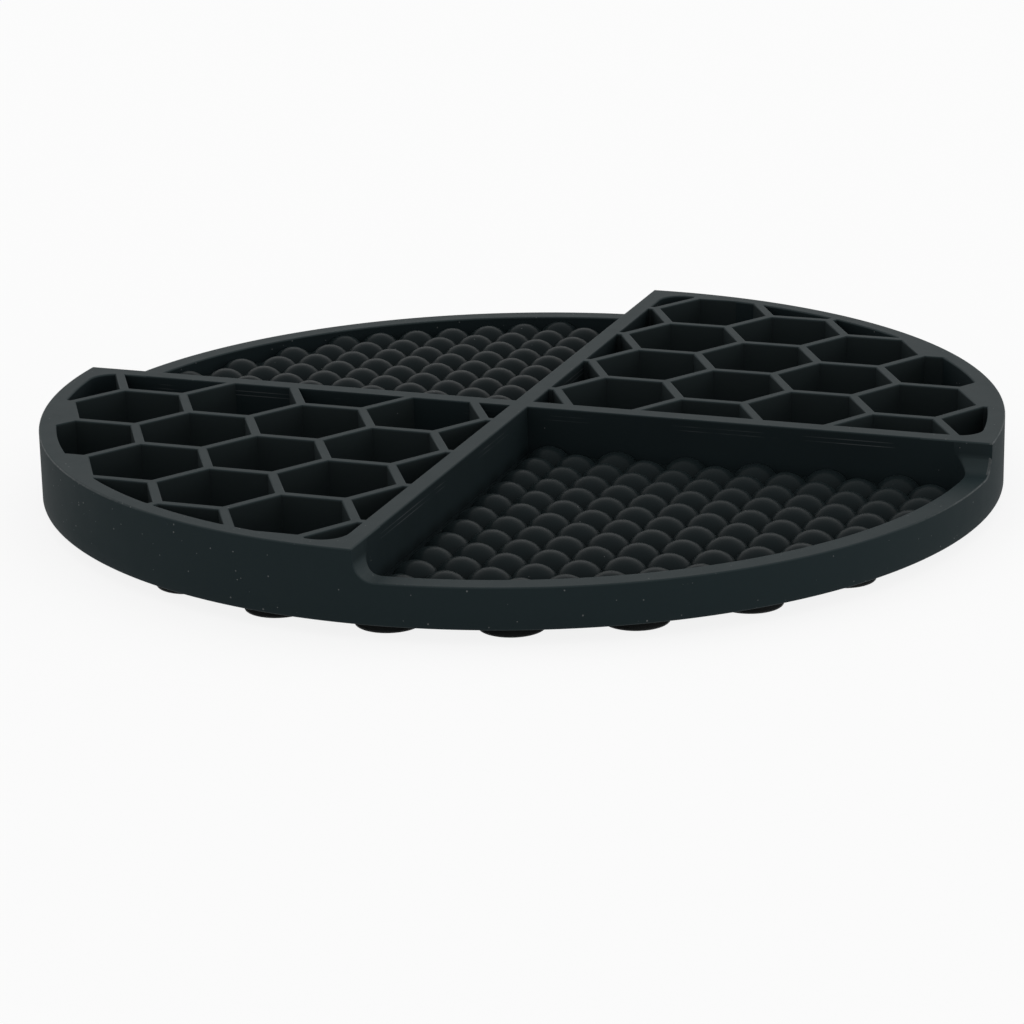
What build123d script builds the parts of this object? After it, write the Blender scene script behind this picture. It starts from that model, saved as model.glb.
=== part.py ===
from build123d import *
import math
import os

# A round silicone lick mat: two honeycomb quarters, two bump quarters and a ring of suction cups.
# X runs along one divider and Y along the other, and the cup lips stand on z = 0.

# Whole mat, with heights measured from its underside
mat_diameter = 200.0
floor_thickness = 3.0
tall_height = 14.5
low_height = 8.3

# Rim and dividers
tall_rim_width = 3.6
low_rim_width = 4.7
divider_width = 4.0
corner_radius = 5.0
tray_corner_radius = 3.0
step_radius = 4.2

# Honeycomb quarters
cell_pitch = 23.6
cell_wall = 2.0
cell_vertex_gap = 2.65
least_cell_share = 0.06

# Bump quarters
bump_pad_thickness = 1.4
bump_pitch = 8.55
bump_ball_radius = 5.2
bump_height = 3.0
bump_sink = 0.5
bump_side_gap = 5.9
bump_end_gap = 4.1
bump_rim_gap = 0.5

# Suction cups
cup_count = 24
cup_edge_distance = 11.0
cup_start_angle = 3.0
cup_diameter = 13.0
cup_height = 3.0
cup_lip_thickness = 0.5
cup_lip_land = 0.6
cup_bell_bow = 0.25
cup_neck_diameter = 5.8
cup_neck_length = 0.4
cup_hollow_depth = 1.7
cup_plug_diameter = 4.6
cup_plug_length = 1.8
cup_socket_clearance = 0.1

# Cutters run this far past the faces they cut
overrun = 2.0

# Round solids stand on their own centre
standing = (Align.CENTER, Align.CENTER, Align.MIN)

# Levels, radii and reaches that follow from the sizes above
mat_radius = mat_diameter / 2
underside_z = cup_height
floor_z = underside_z + floor_thickness
low_z = underside_z + low_height
tall_z = underside_z + tall_height
half_divider = divider_width / 2
tall_pocket_radius = mat_radius - tall_rim_width
tray_radius = mat_radius - low_rim_width
step_height = tall_height - low_height
step_reach = half_divider + max(step_radius, tray_corner_radius)
divider_reach = min(tall_pocket_radius, tray_radius) - 2 * corner_radius


def prism(plan, low, high):
    """The plan as a solid between two levels."""
    return extrude(Pos(0, 0, low) * plan, high - low)


def quarter(edge_radius, rounding, turn):
    """One pocket between the dividers, its two outer corners rounded, turned to its quarter."""
    square = Rectangle(mat_diameter, mat_diameter, align=(Align.MIN, Align.MIN))
    plan = Circle(edge_radius) & (Pos(half_divider, half_divider) * square)
    outer_corners = plan.vertices().sort_by_distance((0, 0))[1:]
    return Rot(0, 0, turn) * fillet(outer_corners, rounding)


def honeycomb_pocket(turn):
    """The deep pocket that one honeycomb fills."""
    return quarter(tall_pocket_radius, corner_radius, turn)


def tray_pocket(turn):
    """The shallow pocket that one bump pad lies in."""
    return quarter(tray_radius, tray_corner_radius, turn)


def envelope():
    """The outside of the mat, upright all round."""
    return Pos(0, 0, underside_z) * Cylinder(mat_radius, tall_height, align=standing)


def cross_plan():
    """Both divider bars, as long as they run free of the rim's rounded corners."""
    bar = Rectangle(2 * divider_reach, divider_width)
    return bar + Rot(0, 0, 90) * bar


def corner_plan(edge):
    """Everything on the positive side of two lines parallel to the dividers."""
    square = Rectangle(2 * mat_diameter, 2 * mat_diameter, align=(Align.MIN, Align.MIN))
    return Pos(edge, edge) * square


def step_cutter():
    """What is taken off beyond the divider's face, leaving a hollow rounding at the foot of the step."""
    profile = Rectangle(mat_radius, step_height + overrun, align=(Align.MAX, Align.MIN))
    profile = fillet(profile.vertices().group_by(Axis.X)[-1].sort_by(Axis.Y)[0], step_radius)
    cutter = extrude(Plane.XZ * profile, mat_diameter, both=True)
    return Pos(-half_divider, 0, low_z) * cutter


def base_disc():
    """The floor of the mat, with a blind socket under it for each cup."""
    slab = Pos(0, 0, underside_z) * Cylinder(mat_diameter, floor_thickness, align=standing)
    disc = envelope() & slab
    socket_radius = cup_plug_diameter / 2 + cup_socket_clearance
    socket_depth = cup_plug_length + cup_socket_clearance
    socket = Cylinder(socket_radius, socket_depth + overrun, align=standing)
    sockets = [place * Pos(0, 0, underside_z - overrun) * socket for place in cup_places()]
    return disc - sockets


def cross_divider():
    """The two crossing walls between the quarters."""
    return prism(cross_plan(), floor_z, tall_z)


def tall_rim(turn):
    """The rim round one honeycomb quarter, with the divider ends and the steps down to the low rim."""
    plan = Circle(mat_diameter) & corner_plan(-step_reach)
    plan -= honeycomb_pocket(0) + honeycomb_pocket(180)
    plan -= tray_pocket(90) + tray_pocket(-90)
    plan -= cross_plan()
    rim = prism(plan, floor_z, tall_z) & envelope()
    step = step_cutter()
    return Rot(0, 0, turn) * (rim - step - Rot(0, 0, 90) * step)


def low_rim(turn):
    """The low rim round one bump quarter, between the two steps."""
    plan = Circle(mat_diameter) & corner_plan(step_reach)
    plan -= tray_pocket(0)
    return Rot(0, 0, turn) * (prism(plan, floor_z, low_z) & envelope())


def honeycomb(turn):
    """The hexagonal walls of one quarter, their ends on the rim and the dividers."""
    pocket = honeycomb_pocket(0)
    cell_radius = (cell_pitch - cell_wall) / math.sqrt(3)
    column_pitch = cell_pitch * math.sqrt(3) / 2
    first_x = half_divider + cell_vertex_gap + cell_radius
    first_y = half_divider + (cell_pitch - cell_wall) / 2
    cell = RegularPolygon(cell_radius, 6)
    cells = []
    for column in range(-1, math.ceil(mat_radius / column_pitch)):
        shift = cell_pitch / 2 if column % 2 else 0
        for row in range(-1, math.ceil(mat_radius / cell_pitch)):
            place = Pos(first_x + column * column_pitch, first_y + shift + row * cell_pitch)
            opening = pocket & (place * cell)
            if opening and opening.area > least_cell_share * cell.area:
                cells.append(opening)
    return Rot(0, 0, turn) * prism(pocket - cells, floor_z, tall_z)


def bump_places():
    """Centres of the bumps of the quarter at +X and -Y, in staggered columns along Y."""
    column_pitch = bump_pitch * math.sqrt(3) / 2
    places = []
    for column in range(math.ceil(mat_radius / column_pitch)):
        x = half_divider + bump_side_gap + column * column_pitch
        shift = bump_pitch / 2 if column % 2 else 0
        for row in range(math.ceil(mat_radius / bump_pitch)):
            y = half_divider + bump_end_gap + shift + row * bump_pitch
            if math.hypot(x, y) < tray_radius - bump_rim_gap:
                places.append((x, -y))
    return places


def bump_pad(turn):
    """The pad of one bump quarter, with its field of overlapping domes, cut off where they meet a wall."""
    pad_z = floor_z + bump_pad_thickness
    plan = tray_pocket(-90)
    pad = prism(plan, floor_z, pad_z)
    ball = Pos(0, 0, bump_height - bump_ball_radius) * Sphere(bump_ball_radius)
    keep = Pos(0, 0, -bump_sink) * Cylinder(bump_ball_radius, bump_sink + bump_height, align=standing)
    dome = ball & keep
    domes = [Pos(x, y, pad_z) * dome for x, y in bump_places()]
    room = prism(plan, floor_z, pad_z + bump_height + overrun)
    return Rot(0, 0, turn) * (room & (pad + domes))


def cup_places():
    """Where the cups stand, evenly round a ring just inside the edge."""
    return PolarLocations(mat_radius - cup_edge_distance, cup_count, cup_start_angle)


def suction_cup():
    """One thin bell on a short neck, with the plug that holds it in the floor."""
    lip_radius = cup_diameter / 2
    neck_radius = cup_neck_diameter / 2
    plug_radius = cup_plug_diameter / 2
    neck_z = cup_height - cup_neck_length
    plug_z = cup_height + cup_plug_length
    hollow_radius = lip_radius - cup_lip_land
    outline = Polyline((hollow_radius, 0), (lip_radius, 0), (lip_radius, cup_lip_thickness))
    outline += SagittaArc((lip_radius, cup_lip_thickness), (neck_radius, neck_z), -cup_bell_bow)
    outline += Polyline(
        (neck_radius, neck_z),
        (neck_radius, cup_height),
        (plug_radius, cup_height),
        (plug_radius, plug_z),
        (0, plug_z),
        (0, cup_hollow_depth),
    )
    outline += TangentArc((0, cup_hollow_depth), (hollow_radius, 0), tangent=(1, 0))
    return revolve(Plane.XZ * make_face(outline), Axis.Z)


def all_nodes():
    """Every piece of the mat under its own name."""
    nodes = {
        "base_disc": base_disc(),
        "cross_divider": cross_divider(),
        "tall_rim_back_right": tall_rim(0),
        "tall_rim_front_left": tall_rim(180),
        "low_rim_front_right": low_rim(-90),
        "low_rim_back_left": low_rim(90),
        "honeycomb_back_right": honeycomb(0),
        "honeycomb_front_left": honeycomb(180),
        "bump_pad_front_right": bump_pad(0),
        "bump_pad_back_left": bump_pad(180),
    }
    cup = suction_cup()
    for number, place in enumerate(cup_places(), start=1):
        nodes[f"suction_cup_{number:02d}"] = place * cup
    return nodes


os.makedirs("parts", exist_ok=True)
for name, shape in all_nodes().items():
    export_step(shape, f"parts/{name}.step")
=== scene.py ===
import math
import bpy
import numpy as np
from mathutils import Matrix, Vector
from mathutils.geometry import delaunay_2d_cdt


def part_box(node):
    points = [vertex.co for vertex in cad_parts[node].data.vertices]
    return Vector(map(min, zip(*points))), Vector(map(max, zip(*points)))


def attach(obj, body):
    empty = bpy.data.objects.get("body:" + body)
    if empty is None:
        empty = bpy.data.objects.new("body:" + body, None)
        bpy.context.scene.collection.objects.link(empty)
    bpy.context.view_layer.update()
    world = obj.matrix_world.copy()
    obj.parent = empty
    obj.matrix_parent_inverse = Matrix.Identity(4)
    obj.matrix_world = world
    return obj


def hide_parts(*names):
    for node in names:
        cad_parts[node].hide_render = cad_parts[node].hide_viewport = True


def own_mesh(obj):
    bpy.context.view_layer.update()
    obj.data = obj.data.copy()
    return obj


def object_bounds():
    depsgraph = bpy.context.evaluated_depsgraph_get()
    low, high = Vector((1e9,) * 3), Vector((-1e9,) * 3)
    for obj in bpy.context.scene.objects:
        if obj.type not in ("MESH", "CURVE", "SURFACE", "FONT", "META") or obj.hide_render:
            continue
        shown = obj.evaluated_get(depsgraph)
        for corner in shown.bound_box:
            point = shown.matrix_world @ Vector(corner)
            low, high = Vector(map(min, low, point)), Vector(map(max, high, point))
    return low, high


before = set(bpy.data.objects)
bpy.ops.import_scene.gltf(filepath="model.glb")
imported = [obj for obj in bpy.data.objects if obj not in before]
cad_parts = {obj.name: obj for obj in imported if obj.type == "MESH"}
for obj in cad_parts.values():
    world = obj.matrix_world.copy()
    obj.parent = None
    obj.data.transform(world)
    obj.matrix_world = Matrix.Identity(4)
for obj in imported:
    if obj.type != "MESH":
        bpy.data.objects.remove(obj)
cad_low, cad_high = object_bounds()

# A round silicone lick mat. Lengths are in metres, and mm turns a number of millimetres into them.
mm = 0.001

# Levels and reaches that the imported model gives
underside_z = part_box("base_disc")[0].z
floor_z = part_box("base_disc")[1].z
low_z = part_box("low_rim_front_right")[1].z
tall_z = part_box("cross_divider")[1].z
bump_top_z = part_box("bump_pad_front_right")[1].z
mat_radius = min(cad_high.x, cad_high.y, -cad_low.x, -cad_low.y)
half_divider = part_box("honeycomb_back_right")[0].x
divider_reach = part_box("cross_divider")[1].x
step_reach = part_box("low_rim_front_right")[0].x
first_cup_low, first_cup_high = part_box("suction_cup_01")
first_cup = (first_cup_low + first_cup_high) / 2

# Rim, pockets and honeycomb
tall_rim_width = 3.6 * mm
low_rim_width = 4.7 * mm
corner_radius = 5.0 * mm
tray_corner_radius = 3.0 * mm
step_radius = 4.2 * mm
step_height = tall_z - low_z
cell_pitch = 23.6 * mm
cell_wall = 2.0 * mm
cell_vertex_gap = 2.65 * mm
least_cell_share = 0.06
tall_pocket_radius = mat_radius - tall_rim_width
tray_radius = mat_radius - low_rim_width

# Bumps
bump_pitch = 8.55 * mm
bump_ball_radius = 5.2 * mm
bump_height = 3.0 * mm
bump_side_gap = 5.9 * mm
bump_end_gap = 4.1 * mm
bump_rim_gap = 0.5 * mm
bump_sink = 0.2 * mm
pad_z = bump_top_z - bump_height

# Suction cups
cup_names = sorted(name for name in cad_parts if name.startswith("suction_cup"))
cup_ring_radius = math.hypot(first_cup.x, first_cup.y)
cup_start_angle = math.atan2(first_cup.y, first_cup.x)
cup_lip_radius = (first_cup_high.x - first_cup_low.x) / 2
cup_top_z = first_cup_high.z
cup_lip_thickness = 0.5 * mm
cup_lip_land = 0.6 * mm
cup_bell_bow = 0.25 * mm
cup_neck_radius = 2.9 * mm
cup_neck_length = 0.4 * mm
cup_hollow_depth = 1.7 * mm
cup_plug_radius = 2.3 * mm
cup_socket_clearance = 0.1 * mm

# How finely round stretches are drawn, and how softly the moulded edges are rounded
arc_step = 1.1 * mm
edge_round = 0.32 * mm
edge_hold = 0.12 * mm
edge_turns = [math.radians(a) for a in (0, 30, 60, 90)]
step_turns = [math.radians(a) for a in (6, 18, 30, 42, 54, 66, 78, 90)]
sharp_angle = math.radians(36)
same_point = 0.001 * mm
cup_sides = 48
socket_sides = 32
bump_sides = 18
bump_rings = 4

# How fine the patterns of the finishes are, in repeats to the metre, and the sizes of their marks
cloud_scale = 38.0
smear_scale = 210.0
grain_scale = 2600.0
grain_depth = 0.03 * mm
speck_scale = 700.0
largest_speck = 0.13
mark_scale = 45.0
mark_half_width = 0.09 * mm
wear_scale = 900.0


class Nodes:
    """A node tree under construction: a call adds one node, fills its inputs and gives an output."""

    def __init__(self, tree):
        self.tree = tree

    def add(self, kind, *values, output=0, **settings):
        node = self.tree.nodes.new(kind)
        for name, value in settings.items():
            setattr(node, name, value)
        for socket, value in zip(node.inputs, values):
            self.fill(socket, value)
        return node.outputs[output]

    def fill(self, socket, value):
        if isinstance(value, bpy.types.NodeSocket):
            self.tree.links.new(value, socket)
        elif value is not None:
            socket.default_value = value

    def maths(self, operation, *values):
        return self.add("ShaderNodeMath", *values, operation=operation)


class GeometryTree(Nodes):
    """A Geometry Nodes tree with named inputs, and the plain mesh that it makes."""

    def __init__(self, name, **inputs):
        super().__init__(bpy.data.node_groups.new(name, "GeometryNodeTree"))
        face = self.tree.interface
        face.new_socket("Geometry", in_out="INPUT", socket_type="NodeSocketGeometry")
        face.new_socket("Geometry", in_out="OUTPUT", socket_type="NodeSocketGeometry")
        kinds = {"size": "NodeSocketFloat", "count": "NodeSocketInt", "material": "NodeSocketMaterial"}
        self.sockets = {
            label: face.new_socket(label, in_out="INPUT", socket_type=kinds[kind]).identifier
            for label, kind in inputs.items()
        }
        self.input = self.tree.nodes.new("NodeGroupInput").outputs
        self.output = self.tree.nodes.new("NodeGroupOutput").inputs[0]

    def finish(self, geometry):
        """Real geometry with its material, because what is only an instance isn't kept."""
        real = self.add("GeometryNodeRealizeInstances", geometry)
        smooth = self.add("GeometryNodeSetShadeSmooth", real)
        self.fill(self.output, self.add("GeometryNodeSetMaterial", smooth, None, self.input["material"]))

    def make(self, name, start, **values):
        """The plain mesh object that the tree gives for these values, from a starting mesh."""
        rough = bpy.data.objects.new(name + "_rough", start)
        bpy.context.scene.collection.objects.link(rough)
        modifier = rough.modifiers.new("shape", "NODES")
        modifier.node_group = self.tree
        for label, value in values.items():
            modifier[self.sockets[label]] = value
        shaped = rough.evaluated_get(bpy.context.evaluated_depsgraph_get())
        mesh = bpy.data.meshes.new_from_object(shaped)
        mesh.materials.clear()
        mesh.materials.append(values["material"])
        bpy.data.objects.remove(rough)
        return shown(name, mesh)


def shown(name, mesh):
    """An object for a finished mesh, smooth over its soft edges and crisp at its sharp ones."""
    mesh.name = name
    mesh.polygons.foreach_set("use_smooth", [True] * len(mesh.polygons))
    mesh.set_sharp_from_angle(angle=sharp_angle)
    piece = bpy.data.objects.new(name, mesh)
    bpy.context.scene.collection.objects.link(piece)
    return piece


def plain_mesh(name, points, faces=(), edges=()):
    mesh = bpy.data.meshes.new(name)
    mesh.from_pydata(points, edges, faces)
    mesh.update()
    return mesh


# Plan of the mat, as outlines that run counter-clockwise


def arc(centre, radius, start, end):
    """Points along an arc, both ends included."""
    count = max(3, math.ceil(abs(end - start) * radius / arc_step) + 1)
    turns = np.linspace(start, end, count)
    return [(centre[0] + radius * math.cos(a), centre[1] + radius * math.sin(a)) for a in turns]


def ring(radius):
    """A whole circle, its last point not repeated."""
    return arc((0, 0), radius, 0, 2 * math.pi)[:-1]


def corner_along(edge_radius, rounding):
    """How far along a divider the rounded corner of a pocket starts."""
    return math.sqrt((edge_radius - rounding) ** 2 - (half_divider + rounding) ** 2)


def pocket(edge_radius, rounding):
    """Outline of the pocket between +X and +Y: two divider faces and the rim, its outer corners rounded."""
    side = half_divider + rounding
    along = corner_along(edge_radius, rounding)
    turn = math.atan2(side, along)
    points = [(half_divider, half_divider)]
    points += arc((along, side), rounding, -math.pi / 2, turn)
    points += arc((0, 0), edge_radius, turn, math.pi / 2 - turn)[1:-1]
    points += arc((side, along), rounding, math.pi / 2 - turn, math.pi)
    return points


honeycomb_pocket = pocket(tall_pocket_radius, corner_radius)
tray_pocket = pocket(tray_radius, tray_corner_radius)
step_start = corner_along(tray_radius, tray_corner_radius)


def turned(points, quarters):
    """The points turned about the mat's middle by a number of quarter turns."""
    for _ in range(quarters % 4):
        points = [(-y, x) for x, y in points]
    return points


def tidy(points):
    """The outline without points that repeat."""
    return [p for p, q in zip(points, points[1:] + points[:1]) if math.dist(p, q) > same_point]


def area(points):
    return sum(p[0] * q[1] - q[0] * p[1] for p, q in zip(points, points[1:] + points[:1])) / 2


def clipped(outline, cell):
    """The part of a convex outline that lies inside a convex cell."""
    for a, b in zip(cell, cell[1:] + cell[:1]):
        depth = [(b[0] - a[0]) * (y - a[1]) - (b[1] - a[1]) * (x - a[0]) for x, y in outline]
        kept = []
        for i, point in enumerate(outline):
            before, d0, d1 = outline[i - 1], depth[i - 1], depth[i]
            if (d0 > 0) != (d1 > 0):
                share = d0 / (d0 - d1)
                kept.append(tuple(p + share * (q - p) for p, q in zip(before, point)))
            if d1 > 0:
                kept.append(point)
        outline = kept
    return tidy(outline)


def honeycomb_cells():
    """Outlines of the open cells of the quarter between +X and +Y, cut off at the rim and the dividers."""
    cell_radius = (cell_pitch - cell_wall) / math.sqrt(3)
    column_pitch = cell_pitch * math.sqrt(3) / 2
    first_x = half_divider + cell_vertex_gap + cell_radius
    first_y = half_divider + (cell_pitch - cell_wall) / 2
    corners = [(cell_radius * math.cos(a), cell_radius * math.sin(a)) for a in np.arange(6) * math.pi / 3]
    cells = []
    for column in range(-1, math.ceil(mat_radius / column_pitch)):
        shift = cell_pitch / 2 if column % 2 else 0
        for row in range(-1, math.ceil(mat_radius / cell_pitch)):
            x, y = first_x + column * column_pitch, first_y + shift + row * cell_pitch
            opening = clipped(honeycomb_pocket, [(x + u, y + v) for u, v in corners])
            if len(opening) > 2 and area(opening) > least_cell_share * area(corners):
                cells.append(opening)
    return cells


def grown(points, distance):
    """A convex outline moved outwards by a distance, with the tips of its sharpest corners kept short."""
    moved = []
    for before, here, after in zip(points[-1:] + points[:-1], points, points[1:] + points[:1]):
        first = Vector((here[1] - before[1], before[0] - here[0])).normalized()
        second = Vector((after[1] - here[1], here[0] - after[0])).normalized()
        push = (first + second) * distance / max(1 + first.dot(second), 0.6)
        moved.append((here[0] + push.x, here[1] + push.y))
    return moved


def inside(outline, x, y):
    """Which points lie inside a convex outline."""
    found = np.full(len(x), True)
    for a, b in zip(outline, outline[1:] + outline[:1]):
        found &= (b[0] - a[0]) * (y - a[1]) - (b[1] - a[1]) * (x - a[0]) > 0
    return found


# Walls of the mat: one continuous moulded top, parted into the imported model's nodes

cells = honeycomb_cells()
openings = cells + [turned(c, 2) for c in cells] + [turned(tray_pocket, 1), turned(tray_pocket, 3)]
edge_offsets = [edge_round * (1 - math.cos(a)) for a in edge_turns] + [edge_round + edge_hold]


def distance_to_openings(x, y):
    """How far each point lies from the nearest edge of an opening."""
    nearest = np.full(len(x), 1.0)
    for outline in openings:
        for a, b in zip(outline, outline[1:] + outline[:1]):
            along = np.array(b) - np.array(a)
            share = ((x - a[0]) * along[0] + (y - a[1]) * along[1]) / (along @ along)
            share = np.clip(share, 0, 1)
            gap = np.hypot(x - a[0] - share * along[0], y - a[1] - share * along[1])
            nearest = np.minimum(nearest, gap)
    return nearest


def distance_to_steps(x, y):
    """How far each point of the tall top lies from the upper edge of a hollow step."""
    start = step_start - same_point
    from_x_face = np.where(x > 0, half_divider + y, half_divider - y)
    from_y_face = np.where(y > 0, half_divider + x, half_divider - x)
    from_x_face = np.where((np.abs(x) > start) & (from_x_face > -same_point), from_x_face, 1.0)
    from_y_face = np.where((np.abs(y) > start) & (from_y_face > -same_point), from_y_face, 1.0)
    return np.abs(np.minimum(from_x_face, from_y_face))


def top_level(x, y):
    """Height of the top before its edges are rounded: tall, or down a hollow step to the low rim."""
    reach = np.clip(np.minimum(np.abs(x), np.abs(y)) - half_divider, 0, step_radius)
    drop = step_height - step_radius + np.sqrt(step_radius ** 2 - (step_radius - reach) ** 2)
    return np.where((x * y < 0) & (reach > same_point), tall_z - drop, tall_z)


def plan_lines():
    """Every line that the top is triangulated along: edges, roundings, steps and seams of the nodes."""
    loops = [grown(o, d) if d else o for o in openings for d in edge_offsets]
    loops += [ring(mat_radius - d) for d in edge_offsets]
    loops += [turned(honeycomb_pocket, q) for q in (0, 2)]
    lines = [loop + loop[:1] for loop in loops]
    start, end = step_start, mat_radius + edge_round
    offsets = [-d for d in edge_offsets] + [step_radius * (1 - math.cos(a)) for a in step_turns]
    for offset in offsets:
        run = [(start, -half_divider - offset), (end, -half_divider - offset)]
        across = [(half_divider + offset, -start), (half_divider + offset, -end)]
        lines += [run, across, turned(run, 2), turned(across, 2)]
    reach, half = divider_reach, half_divider
    for quarters in range(4):
        lines.append(turned([(half, half), (reach, half), (reach, -half), (half, -half)], quarters))
    return lines


def node_at(x, y):
    """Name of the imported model's node that each point of the top belongs to."""
    name = np.full(len(x), "tall_rim_front_left", dtype=object)
    name[(x > -step_reach) & (y > -step_reach)] = "tall_rim_back_right"
    name[(x > step_reach) & (y < -step_reach)] = "low_rim_front_right"
    name[(x < -step_reach) & (y > step_reach)] = "low_rim_back_left"
    name[inside(honeycomb_pocket, x, y)] = "honeycomb_back_right"
    name[inside(turned(honeycomb_pocket, 2), x, y)] = "honeycomb_front_left"
    near, far = np.minimum(np.abs(x), np.abs(y)), np.maximum(np.abs(x), np.abs(y))
    name[(near < half_divider) & (far < divider_reach)] = "cross_divider"
    return name


def wall_top():
    """Points and triangles of the whole moulded top, and the node that each triangle belongs to."""
    points, edges = [], []
    for line in plan_lines():
        first = len(points)
        points += [Vector(p) for p in line]
        edges += [(first + i, first + i + 1) for i in range(len(line) - 1)]
    flat, _, triangles, _, _, _ = delaunay_2d_cdt(points, edges, [], 0, same_point)
    x, y = np.array([p.x for p in flat]), np.array([p.y for p in flat])
    triangles = np.array(triangles)
    middle_x, middle_y = x[triangles].mean(1), y[triangles].mean(1)
    solid = np.hypot(middle_x, middle_y) < mat_radius
    for outline in openings:
        solid &= ~inside(outline, middle_x, middle_y)
    a, b, c = triangles.T
    size = (x[b] - x[a]) * (y[c] - y[a]) - (y[b] - y[a]) * (x[c] - x[a])
    solid &= np.abs(size) > same_point ** 2
    triangles[size < 0] = triangles[size < 0][:, ::-1]
    level = top_level(x, y)
    gap = np.minimum(distance_to_openings(x, y), np.abs(mat_radius - np.hypot(x, y)))
    gap = np.minimum(np.minimum(gap, distance_to_steps(x, y)), edge_round)
    z = level - edge_round + np.sqrt(edge_round ** 2 - (edge_round - gap) ** 2)
    top = np.stack([x, y, z], 1)
    bottom = np.stack([x, y, np.full(len(x), floor_z)], 1)
    return top, bottom, triangles[solid], node_at(middle_x[solid], middle_y[solid])


def wall_block(name, top, bottom, triangles):
    """One closed block of wall: its part of the moulded top, straight sides and a flat foot."""
    used, triangles = np.unique(triangles, return_inverse=True)
    triangles = triangles.reshape(-1, 3)
    top, bottom = top[used], bottom[used]
    held = (top[:, 2] - edge_hold - floor_z) / (top[:, 2] - floor_z)
    hold = bottom + (top - bottom) * held[:, None]
    count = len(used)
    directed = {(t[i], t[(i + 1) % 3]) for t in triangles for i in range(3)}
    rim = [(a, b) for a, b in directed if (b, a) not in directed]
    faces = [tuple(t) for t in triangles] + [tuple(t[::-1] + 2 * count) for t in triangles]
    for a, b in sorted(rim):
        faces.append((a, a + count, b + count, b))
        faces.append((a + count, a + 2 * count, b + 2 * count, b + count))
    mesh = plain_mesh(name, np.concatenate([top, hold, bottom]).tolist(), faces)
    return without_loose_points(mesh)


def without_loose_points(mesh):
    """The mesh without the points that no face uses."""
    used = np.zeros(len(mesh.vertices), bool)
    used[[v for p in mesh.polygons for v in p.vertices]] = True
    place = np.cumsum(used) - 1
    points = [v.co.copy() for v, keep in zip(mesh.vertices, used) if keep]
    faces = [[int(place[v]) for v in p.vertices] for p in mesh.polygons]
    name = mesh.name
    bpy.data.meshes.remove(mesh)
    return plain_mesh(name, points, faces)


# Finishes


def silicone(name, colour, top, roughness, shine, upright=0.0, dust=0.05, marks=(), with_painted_light=False):
    """Matte dyed silicone: faint clouding, a painted reflection that lightens level faces, a fine moulded
    grain, a little dust, marks if asked for, and painted light on curved faces, the outer side and the
    outer edge if asked for.
    """
    material = bpy.data.materials.new(name)
    material.use_nodes = True
    shader = material.node_tree.nodes["Principled BSDF"]
    nodes = Nodes(material.node_tree)
    place = nodes.add("ShaderNodeTexCoord", output=3)
    clouds = nodes.add("ShaderNodeTexNoise", place, None, cloud_scale, 4.0, 0.55)
    tone = nodes.add("ShaderNodeMapRange", clouds, 0.3, 0.7)
    shade = mixed(nodes, tone, [c * 0.9 for c in colour] + [1], [c * 1.1 for c in colour] + [1])
    # Painted reflection: level faces are lightened towards the top colour.
    level = nodes.add("ShaderNodeMapRange", steepness(nodes), 0.15, 0.85, 1.0, 0.0)
    shade = mixed(nodes, level, shade, top + (1,))
    if with_painted_light:
        # Painted light: hollow and rounded faces, such as the steps and rounded edges, are lightened.
        shade = mixed(nodes, curved_faces(nodes), shade, curved_painted_light_colour + (1,))
        # Painted light: the upright outer side of the mat is lightened towards the side colour.
        outer = outer_side(nodes, place)
        shade = mixed(nodes, nodes.maths("MULTIPLY", outer, steepness(nodes)), shade, side_painted_light_colour + (1,))
        # Painted highlight along the rounded outer edge.
        shade = mixed(nodes, painted_edge_highlight(nodes, place, outer), shade, (0.085, 0.093, 0.095, 1))
    shade = mixed(nodes, dust_specks(nodes, place, dust), shade, (0.09, 0.096, 0.098, 1))
    for level in marks:
        shade = mixed(nodes, parting_mark(nodes, place, level), shade, (0.045, 0.052, 0.055, 1))
    grain = nodes.add("ShaderNodeTexNoise", place, None, grain_scale, 2.0, 0.5)
    bump = nodes.add("ShaderNodeBump", 0.16, grain_depth)
    nodes.fill(bump.node.inputs["Height"], grain)
    nodes.fill(shader.inputs["Base Color"], shade)
    nodes.fill(shader.inputs["Roughness"], worn_roughness(nodes, place, roughness, upright))
    nodes.fill(shader.inputs["Normal"], bump)
    shader.inputs["Specular IOR Level"].default_value = shine
    return material


def mixed(nodes, factor, first, second):
    """First colour turning into the second as the factor rises."""
    out = nodes.add("ShaderNodeMix", data_type="RGBA", output=2)
    for slot, value in zip((0, 6, 7), (factor, first, second)):
        nodes.fill(out.node.inputs[slot], value)
    return out


def steepness(nodes):
    """0 on level faces and 1 on upright ones."""
    rise = nodes.add("ShaderNodeSeparateXYZ", nodes.add("ShaderNodeNewGeometry", output=1), output=2)
    return nodes.maths("SUBTRACT", 1.0, nodes.maths("ABSOLUTE", rise))


def curved_faces(nodes):
    """1 on hollow and rounded faces, and 0 on level and upright ones."""
    lean = steepness(nodes)
    rising = nodes.add("ShaderNodeMapRange", lean, 0.02, 0.2)
    falling = nodes.add("ShaderNodeMapRange", lean, 0.6, 0.95, 1.0, 0.0)
    return nodes.maths("MULTIPLY", rising, falling)


def worn_roughness(nodes, place, roughness, upright):
    """Faint smears, and rougher down the upright walls where no hand or tongue rubs."""
    smears = nodes.add("ShaderNodeTexNoise", place, None, smear_scale, 3.0, 0.6)
    rough = nodes.add("ShaderNodeMapRange", smears, 0.3, 0.7, roughness - 0.015, roughness + 0.015)
    return nodes.maths("ADD", rough, nodes.maths("MULTIPLY", steepness(nodes), upright))


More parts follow.
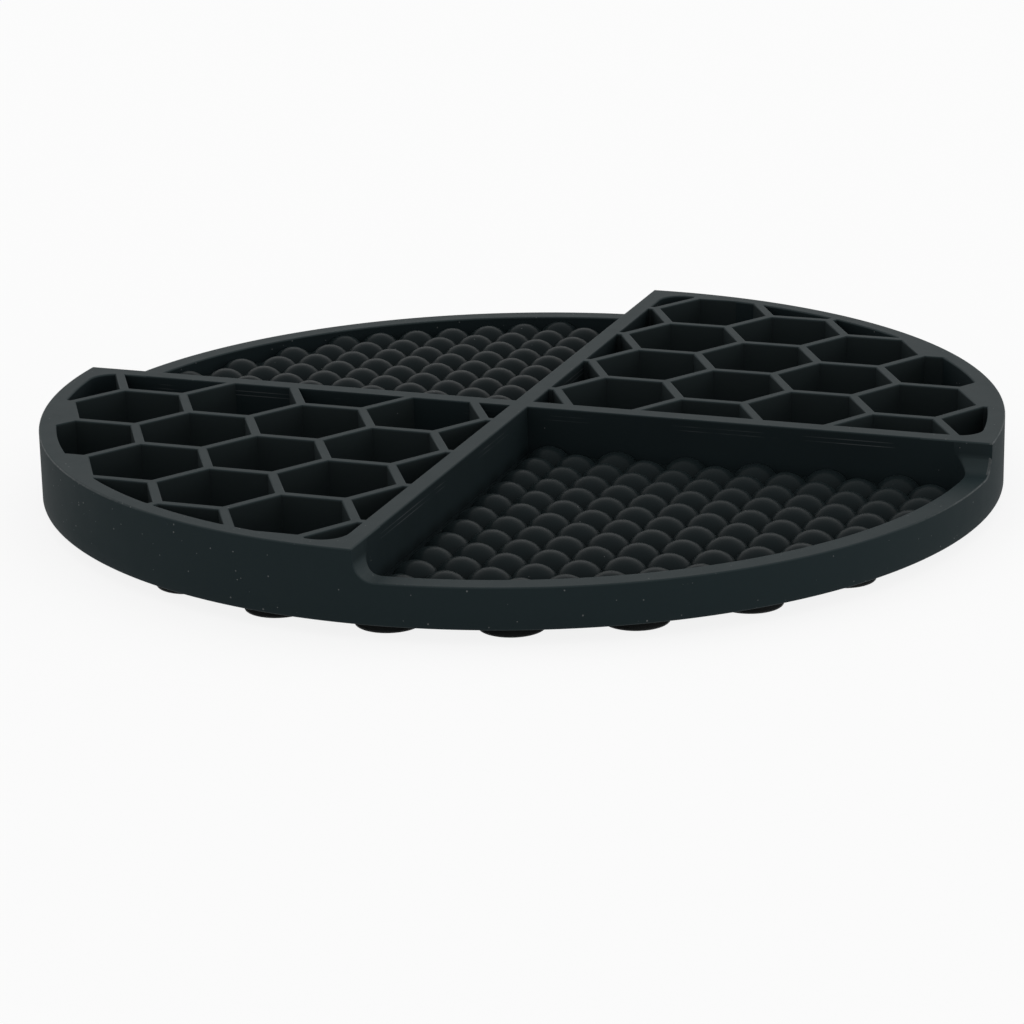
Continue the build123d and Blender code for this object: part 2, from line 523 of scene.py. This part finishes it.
def dust_specks(nodes, place, share):
    """Tiny pale specks, one in a share of the cells of a scattered pattern, each of its own size."""
    distance = nodes.add("ShaderNodeTexVoronoi", place, None, speck_scale)
    chance = nodes.add("ShaderNodeSeparateColor", distance.node.outputs["Color"])
    picked = nodes.maths("LESS_THAN", chance, share)
    size = nodes.maths("MULTIPLY", chance.node.outputs[1], largest_speck)
    return nodes.maths("MULTIPLY", nodes.maths("LESS_THAN", distance, size), picked)


def parting_mark(nodes, place, level):
    """A thin, faint and broken line along upright walls, where two parts of the mould met."""
    height = nodes.add("ShaderNodeSeparateXYZ", place, output=2)
    gap = nodes.maths("ABSOLUTE", nodes.maths("SUBTRACT", height, level))
    line = nodes.maths("LESS_THAN", gap, mark_half_width)
    upright = nodes.maths("GREATER_THAN", steepness(nodes), 0.7)
    broken = nodes.add("ShaderNodeTexNoise", place, None, mark_scale, 3.0, 0.6)
    broken = nodes.add("ShaderNodeMapRange", broken, 0.52, 0.66)
    return nodes.maths("MULTIPLY", nodes.maths("MULTIPLY", line, upright), broken)


def outer_side(nodes, place):
    """1 on the outer side of the mat and on its rounded edge, and 0 further in."""
    parts = nodes.add("ShaderNodeSeparateXYZ", place).node.outputs
    level = nodes.add("ShaderNodeCombineXYZ", parts[0], parts[1], 0.0)
    away = nodes.add("ShaderNodeVectorMath", level, operation="LENGTH", output=1)
    return nodes.maths("GREATER_THAN", away, mat_radius - 2 * edge_round)


def painted_edge_highlight(nodes, place, outer):
    """A painted highlight: a pale broken line along the top's rounded outer edge, at the two ends that lie
    along the highlight direction.
    """
    along = nodes.add("ShaderNodeVectorMath", place, edge_highlight_direction, operation="DOT_PRODUCT", output=1)
    reach = nodes.maths("ABSOLUTE", along)
    ends = nodes.add("ShaderNodeMapRange", reach, 0.7 * mat_radius, 0.93 * mat_radius)
    lean = steepness(nodes)
    past_level = nodes.maths("GREATER_THAN", lean, 0.1)
    not_upright = nodes.maths("LESS_THAN", lean, 0.8)
    rounded = nodes.maths("MULTIPLY", past_level, not_upright)
    broken = nodes.add("ShaderNodeTexNoise", place, None, wear_scale, 3.0, 0.7)
    broken = nodes.add("ShaderNodeMapRange", broken, 0.3, 0.65, 0.25, 1.0)
    line = nodes.maths("MULTIPLY", nodes.maths("MULTIPLY", outer, rounded), broken)
    return nodes.maths("MULTIPLY", line, ends)


# Colours and shine of the silicone, some of them painted light and shade, and the line between the two ends
# that take the painted edge highlight
edge_highlight_direction = (0.941, 0.339, 0.0)
mat_colour = (0.0088, 0.0145, 0.0162)
# Painted light: the outer side is lighter than the silicone colour.
side_painted_light_colour = (0.0108, 0.0182, 0.0202)
# Painted reflection: level tops are lighter than the silicone colour.
top_painted_reflection_colour = (0.0142, 0.023, 0.025)
# Painted light: hollow and rounded faces are lighter than the silicone colour.
curved_painted_light_colour = (0.0235, 0.0335, 0.0355)
# Painted light: the honeycomb walls take a lighter copy of the silicone colour, which lifts the shade
# inside the deep cells.
cell_painted_light_colour = (0.0135, 0.019, 0.02)
# Painted shade: the bumps take a slightly darker copy of the silicone colour.
bump_painted_shade_colour = (0.0086, 0.0128, 0.0139)
# Painted light: the cups take a colour much lighter than the silicone, which lifts the shade under the mat.
cup_painted_light_colour = (0.024, 0.026, 0.0262)
mark_levels = [tall_z - 1.6 * mm, tall_z - 2.5 * mm]
wall_feel = {"roughness": 0.5, "shine": 0.08, "upright": 0.2}
mat_silicone = silicone("mat_silicone", mat_colour, top_painted_reflection_colour, dust=0.6, with_painted_light=True, **wall_feel)
divider_silicone = silicone("divider_silicone", mat_colour, top_painted_reflection_colour, marks=mark_levels, **wall_feel)
cell_silicone = silicone("cell_silicone", cell_painted_light_colour, top_painted_reflection_colour, **wall_feel)
bump_silicone = silicone("bump_silicone", bump_painted_shade_colour, bump_painted_shade_colour, 0.31, 0.036)
cup_silicone = silicone("cup_silicone", cup_painted_light_colour, cup_painted_light_colour, 0.44, 0.1)
wall_finishes = {
    "tall": mat_silicone,
    "low": mat_silicone,
    "cross": divider_silicone,
    "honeycomb": cell_silicone,
}


def finish_piece(piece, node, body):
    """The piece stands for its node and moves with the node's body."""
    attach(piece, body)
    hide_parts(node)


# Walls

top, bottom, triangles, owners = wall_top()
for node in sorted(set(owners)):
    wall = shown(node + "_wall", wall_block(node + "_wall", top, bottom, triangles[owners == node]))
    wall.data.materials.append(wall_finishes[node.split("_")[0]])
    finish_piece(wall, node, "mat")


# Turned pieces: a half section drawn as a line of points and spun about Z


def turned_tree():
    """Spins the starting mesh's line of points about Z and sets the result beside the axis."""
    tree = GeometryTree(
        "turned_piece", points="count", segments="count", away="size", angle="size", material="material"
    )
    section, points, segments = tree.input["Geometry"], tree.input["points"], tree.input["segments"]
    around = tree.maths("ADD", segments, 1.0)
    sheet = tree.add("GeometryNodeMeshGrid", 1.0, 1.0, around, points)
    index = tree.add("GeometryNodeInputIndex")
    along = tree.maths("FLOORED_MODULO", index, points)
    turn = tree.maths("FLOOR", tree.maths("DIVIDE", index, points))
    angle = tree.maths("DIVIDE", tree.maths("MULTIPLY", turn, 2 * math.pi), segments)
    here = tree.add("GeometryNodeInputPosition")
    spot = tree.add("GeometryNodeSampleIndex", section, None, along, data_type="FLOAT_VECTOR")
    tree.fill(spot.node.inputs["Value"], here)
    parts = tree.add("ShaderNodeSeparateXYZ", spot).node.outputs
    x = tree.maths("MULTIPLY", parts[0], tree.maths("COSINE", angle))
    y = tree.maths("MULTIPLY", parts[0], tree.maths("SINE", angle))
    place = tree.add("ShaderNodeCombineXYZ", x, y, parts[2])
    spun = tree.add("GeometryNodeSetPosition", sheet, None, place)
    closed = tree.add("GeometryNodeMergeByDistance", spun, None, same_point)
    east = tree.maths("MULTIPLY", tree.input["away"], tree.maths("COSINE", tree.input["angle"]))
    north = tree.maths("MULTIPLY", tree.input["away"], tree.maths("SINE", tree.input["angle"]))
    shift = tree.add("ShaderNodeCombineXYZ", east, north, 0.0)
    outward = tree.add("GeometryNodeFlipFaces", closed)
    tree.finish(tree.add("GeometryNodeTransform", outward, shift))
    return tree


def section_line(name, points):
    """A half section, as points (radius, height) joined by edges."""
    edges = [(i, i + 1) for i in range(len(points) - 1)]
    return plain_mesh(name, [(r, 0, z) for r, z in points], edges=edges)


def bowed(start, end, bow, count):
    """Points from start to end along a shallow arc that stands out by bow to the left."""
    shares = np.linspace(0, 1, count)
    across = Vector((start[1] - end[1], end[0] - start[0])).normalized()
    lift = [4 * bow * s * (1 - s) for s in shares]
    return [
        (
            start[0] + s * (end[0] - start[0]) + rise * across.x,
            start[1] + s * (end[1] - start[1]) + rise * across.y,
        )
        for s, rise in zip(shares, lift)
    ]


def cup_section():
    """Half section of one cup, from its plug's top over the bell and lip to the middle of its hollow."""
    neck_z = underside_z - cup_neck_length
    hollow_radius = cup_lip_radius - cup_lip_land
    soft = cup_lip_thickness / 4
    lip = [(cup_lip_radius, cup_lip_thickness - soft), (cup_lip_radius, soft), (cup_lip_radius - soft, 0)]
    bell = bowed((cup_neck_radius, neck_z), (cup_lip_radius - soft, cup_lip_thickness), cup_bell_bow, 9)
    sphere = (hollow_radius ** 2 + cup_hollow_depth ** 2) / (2 * cup_hollow_depth)
    hollow = [
        (r, cup_hollow_depth - sphere + math.sqrt(sphere ** 2 - r ** 2))
        for r in np.linspace(hollow_radius, 0, 9)
    ]
    plug = [(0, cup_top_z), (cup_plug_radius, cup_top_z), (cup_plug_radius, underside_z)]
    return plug + [(cup_neck_radius, underside_z)] + bell + lip + hollow


turned_piece = turned_tree()
section = cup_section()
for number, node in enumerate(cup_names):
    angle = cup_start_angle + number * 2 * math.pi / len(cup_names)
    cup = turned_piece.make(
        node + "_bell",
        section_line(node, section),
        points=len(section),
        segments=cup_sides,
        away=cup_ring_radius,
        angle=angle,
        material=cup_silicone,
    )
    body = node.replace("suction_cup", "cup")
    finish_piece(cup, node, body)
    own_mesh(cup)


# Floor of the mat, with a blind socket for each cup


def disc_section():
    """Half section of the floor, its lower edge softly rounded."""
    middle_r, middle_z = mat_radius - edge_round, underside_z + edge_round
    edge = [(middle_r + edge_round * math.sin(a), middle_z - edge_round * math.cos(a)) for a in edge_turns]
    hold = [(middle_r - edge_hold, underside_z)]
    return [(0, floor_z), (mat_radius, floor_z)] + edge[::-1] + hold + [(0, underside_z)]


def socket_tree():
    """Sinks a ring of blind holes into the starting mesh from below."""
    tree = GeometryTree(
        "cup_sockets",
        holes="count",
        ring="size",
        angle="size",
        radius="size",
        depth="size",
        level="size",
        material="material",
    )
    circle = tree.add("GeometryNodeMeshCircle", tree.input["holes"], tree.input["ring"])
    spin = tree.add("ShaderNodeCombineXYZ", 0.0, 0.0, tree.input["angle"])
    lift = tree.add("ShaderNodeCombineXYZ", 0.0, 0.0, tree.input["level"])
    circle = tree.add("GeometryNodeTransform", circle, lift, spin)
    both_ways = tree.maths("MULTIPLY", tree.input["depth"], 2.0)
    drill = tree.add("GeometryNodeMeshCylinder", socket_sides, 1, 1, tree.input["radius"], both_ways)
    placed = tree.add("GeometryNodeInstanceOnPoints", circle, None, drill)
    drills = tree.add("GeometryNodeRealizeInstances", placed)
    how = {"operation": "DIFFERENCE", "solver": "MANIFOLD"}
    tree.finish(tree.add("GeometryNodeMeshBoolean", tree.input["Geometry"], drills, **how))
    return tree


section = disc_section()
plain_disc = turned_piece.make(
    "plain_disc",
    section_line("disc", section),
    points=len(section),
    segments=round(2 * math.pi * mat_radius / arc_step),
    away=0.0,
    angle=0.0,
    material=mat_silicone,
)
base = socket_tree().make(
    "base_disc_floor",
    plain_disc.data.copy(),
    holes=len(cup_names),
    ring=cup_ring_radius,
    angle=cup_start_angle,
    radius=cup_plug_radius + cup_socket_clearance,
    depth=cup_top_z - underside_z + cup_socket_clearance,
    level=underside_z,
    material=mat_silicone,
)
bpy.data.objects.remove(plain_disc)
finish_piece(base, "base_disc", "mat")


# Bump pads


def bump_tree():
    """Covers the starting slab with low round bumps in staggered columns, as far as the rim leaves room."""
    tree = GeometryTree(
        "bump_field",
        columns="count",
        rows="count",
        pitch="size",
        first_x="size",
        first_y="size",
        limit="size",
        radius="size",
        height="size",
        level="size",
        turn="size",
        material="material",
    )
    index, pitch = tree.add("GeometryNodeInputIndex"), tree.input["pitch"]
    column = tree.maths("FLOOR", tree.maths("DIVIDE", index, tree.input["rows"]))
    row = tree.maths("FLOORED_MODULO", index, tree.input["rows"])
    shift = tree.maths("MULTIPLY", tree.maths("FLOORED_MODULO", column, 2.0), 0.5)
    step = tree.maths("MULTIPLY", pitch, math.sqrt(3) / 2)
    x = tree.maths("ADD", tree.input["first_x"], tree.maths("MULTIPLY", column, step))
    along = tree.maths("MULTIPLY", tree.maths("ADD", row, shift), pitch)
    y = tree.maths("ADD", tree.input["first_y"], along)
    squares = tree.maths("ADD", tree.maths("MULTIPLY", x, x), tree.maths("MULTIPLY", y, y))
    away = tree.maths("SQRT", squares)
    place = tree.add("ShaderNodeCombineXYZ", x, tree.maths("MULTIPLY", y, -1.0), tree.input["level"])
    total = tree.maths("MULTIPLY", tree.input["columns"], tree.input["rows"])
    spots = tree.add("GeometryNodePoints", total, place)
    outside = tree.maths("GREATER_THAN", away, tree.input["limit"])
    kept = tree.maths("SUBTRACT", 1.0, outside)
    placed = tree.add("GeometryNodeInstanceOnPoints", spots, kept, bump_dome(tree))
    bumps = tree.add("GeometryNodeRealizeInstances", placed)
    joined = tree.add("GeometryNodeMeshBoolean", None, bumps, operation="UNION", solver="MANIFOLD")
    tree.fill(joined.node.inputs["Mesh 2"], tree.input["Geometry"])
    spin = tree.add("ShaderNodeCombineXYZ", 0.0, 0.0, tree.input["turn"])
    tree.finish(tree.add("GeometryNodeTransform", joined, None, spin))
    return tree


def bump_dome(tree):
    """One bump: a cone bent into the cap of a ball, whose foot sinks a little into the slab."""
    radius, height = tree.input["radius"], tree.input["height"]
    cone = tree.add("GeometryNodeMeshCone", bump_sides, bump_rings, 1, 0.0, 1.0, 1.0)
    here = tree.add("ShaderNodeSeparateXYZ", tree.add("GeometryNodeInputPosition")).node.outputs
    middle = tree.maths("SUBTRACT", height, radius)
    foot = tree.maths("DIVIDE", tree.maths("SUBTRACT", -bump_sink, middle), radius)
    lean = tree.maths("MULTIPLY", tree.maths("SUBTRACT", 1.0, here[2]), tree.maths("ARCCOSINE", foot))
    z = tree.maths("ADD", tree.maths("MULTIPLY", radius, tree.maths("COSINE", lean)), middle)
    reach = tree.maths("MULTIPLY", radius, tree.maths("SINE", lean))
    level = tree.add("ShaderNodeCombineXYZ", here[0], here[1], 0.0)
    outward = tree.add("ShaderNodeVectorMath", level, operation="NORMALIZE")
    out = tree.add("ShaderNodeVectorMath", outward, operation="SCALE")
    tree.fill(out.node.inputs["Scale"], reach)
    lift = tree.add("ShaderNodeCombineXYZ", 0.0, 0.0, z)
    place = tree.add("ShaderNodeVectorMath", out, lift, operation="ADD")
    return tree.add("GeometryNodeSetPosition", cone, None, place)


def pad_slab(name):
    """The plain slab that fills the pocket at +X and -Y up to the foot of its bumps."""
    outline = turned(tray_pocket, 3)
    count = len(outline)
    points = [(x, y, floor_z) for x, y in outline] + [(x, y, pad_z) for x, y in outline]
    faces = [tuple(range(count))[::-1], tuple(range(count, 2 * count))]
    faces += [(i, (i + 1) % count, (i + 1) % count + count, i + count) for i in range(count)]
    return plain_mesh(name, points, faces)


bump_field = bump_tree()
for node, turn in (("bump_pad_front_right", 0.0), ("bump_pad_back_left", math.pi)):
    pad = bump_field.make(
        node + "_bumps",
        pad_slab(node),
        columns=math.ceil(mat_radius / (bump_pitch * math.sqrt(3) / 2)),
        rows=math.ceil(mat_radius / bump_pitch),
        pitch=bump_pitch,
        first_x=half_divider + bump_side_gap,
        first_y=half_divider + bump_end_gap,
        limit=tray_radius - bump_rim_gap,
        radius=bump_ball_radius,
        height=bump_height,
        level=pad_z,
        turn=turn,
        material=bump_silicone,
    )
    finish_piece(pad, node, "mat")


# Stage: a white sweep that keeps a soft shadow, and studio light from above

white = (1, 1, 1, 1)


def seen_directly(nodes):
    """1 for what is seen directly, in a reflection or through glass, and 0 for light on the object."""
    path = nodes.add("ShaderNodeLightPath").node.outputs
    seen = nodes.maths("MAXIMUM", path["Is Camera Ray"], path["Is Glossy Ray"])
    return nodes.maths("MAXIMUM", seen, path["Is Transmission Ray"])


def studio_world():
    """White all round, with a softly dimmer horizon for the mat's shine."""
    world = bpy.data.worlds.new("studio")
    world.use_nodes = True
    nodes = Nodes(world.node_tree)
    background = world.node_tree.nodes["Background"]
    background.inputs["Color"].default_value = white
    direction = nodes.add("ShaderNodeTexCoord")
    height = nodes.add("ShaderNodeSeparateXYZ", direction, output=2)
    sky = nodes.add("ShaderNodeMapRange", height, 0.0, 0.3, 0.3, 1.0)
    strength = nodes.add("ShaderNodeMapRange", seen_directly(nodes), 0.0, 1.0, 0.68, sky)
    nodes.fill(background.inputs["Strength"], strength)
    bpy.context.scene.world = world


def studio_floor():
    side = 3.0
    corners = [(-side, -side, 0), (side, -side, 0), (side, side, 0), (-side, side, 0)]
    ground = bpy.data.objects.new("studio_floor", plain_mesh("studio_floor", corners, [(0, 1, 2, 3)]))
    bpy.context.scene.collection.objects.link(ground)
    material = bpy.data.materials.new("studio_floor")
    material.use_nodes = True
    nodes = Nodes(material.node_tree)
    shader = material.node_tree.nodes["Principled BSDF"]
    shader.inputs["Base Color"].default_value = (0.9, 0.9, 0.9, 1)
    shader.inputs["Roughness"].default_value = 0.9
    shader.inputs["Specular IOR Level"].default_value = 0.0
    glow = nodes.add("ShaderNodeEmission", white, 1.0)
    blend = nodes.add("ShaderNodeMixShader", nodes.maths("MULTIPLY", seen_directly(nodes), 0.86))
    nodes.fill(blend.node.inputs[1], shader.outputs[0])
    nodes.fill(blend.node.inputs[2], glow)
    nodes.fill(material.node_tree.nodes["Material Output"].inputs["Surface"], blend)
    ground.data.materials.append(material)


def soft_light(name, place, width, height, power):
    """A soft box at a place, turned to the mat."""
    data = bpy.data.lights.new(name, "AREA")
    data.shape = "RECTANGLE"
    data.size = width
    data.size_y = height
    data.energy = power
    lamp = bpy.data.objects.new(name, data)
    turn = Vector(place).to_track_quat("Z", "Y").to_matrix().to_4x4()
    lamp.matrix_world = Matrix.Translation(place) @ turn
    lamp.visible_glossy = False
    bpy.context.scene.collection.objects.link(lamp)


studio_world()
studio_floor()
soft_light("overhead", (-0.2, 0.6, 1.2), 1.4, 1.4, 3.6)
soft_light("left_side", (-1.23, -0.43, 0.2), 0.9, 0.35, 1.2)
soft_light("right_side", (1.25, 0.1, 0.2), 0.9, 0.35, 3.0)

# Camera, where the photographed view was taken from
camera_place = Vector((232.232, -652.337, 215.687)) * mm
camera_look = Vector((-0.32249, 0.89600, -0.30525))
camera_up = Vector((-0.085136, 0.293719, 0.952093))
focal_length = 121.27
film_width = 36.0

camera_data = bpy.data.cameras.new("camera")
camera_data.lens = focal_length
camera_data.sensor_width = film_width
camera_data.clip_start = 10 * mm
camera = bpy.data.objects.new("camera", camera_data)
axes = Matrix((camera_look.cross(camera_up), camera_up, -camera_look)).transposed()
camera.matrix_world = Matrix.Translation(camera_place) @ axes.to_4x4()
bpy.context.scene.collection.objects.link(camera)
bpy.context.scene.camera = camera
bpy.context.scene.view_settings.view_transform = "Standard"
